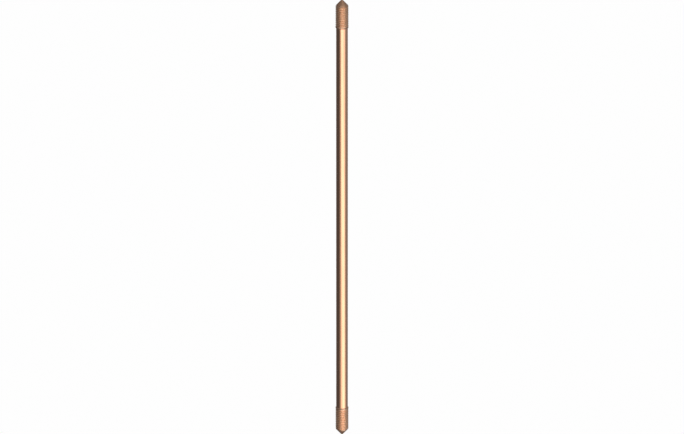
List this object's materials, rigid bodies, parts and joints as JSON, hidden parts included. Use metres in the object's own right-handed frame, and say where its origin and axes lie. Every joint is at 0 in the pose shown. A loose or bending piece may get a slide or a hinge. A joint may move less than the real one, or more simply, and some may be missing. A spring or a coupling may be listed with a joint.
{
  "type": "earth rod",
  "caption": "Round copper-faced earth rod with a plain shank and a rolled thread and conical point at each end, driven into the ground as an earth electrode.",
  "frame": {"origin": "lower tip of the rod, on its axis", "axes": "+Z along the rod's axis, from the lower tip to the upper one"},
  "size_m": [0.0156, 0.0156, 0.556],
  "materials": {
    "copper": "bright drawn copper, a little duller on the threads and points"
  },
  "bodies": {
    "root": {"earth_rod": "copper"}
  },
  "joints": []
}
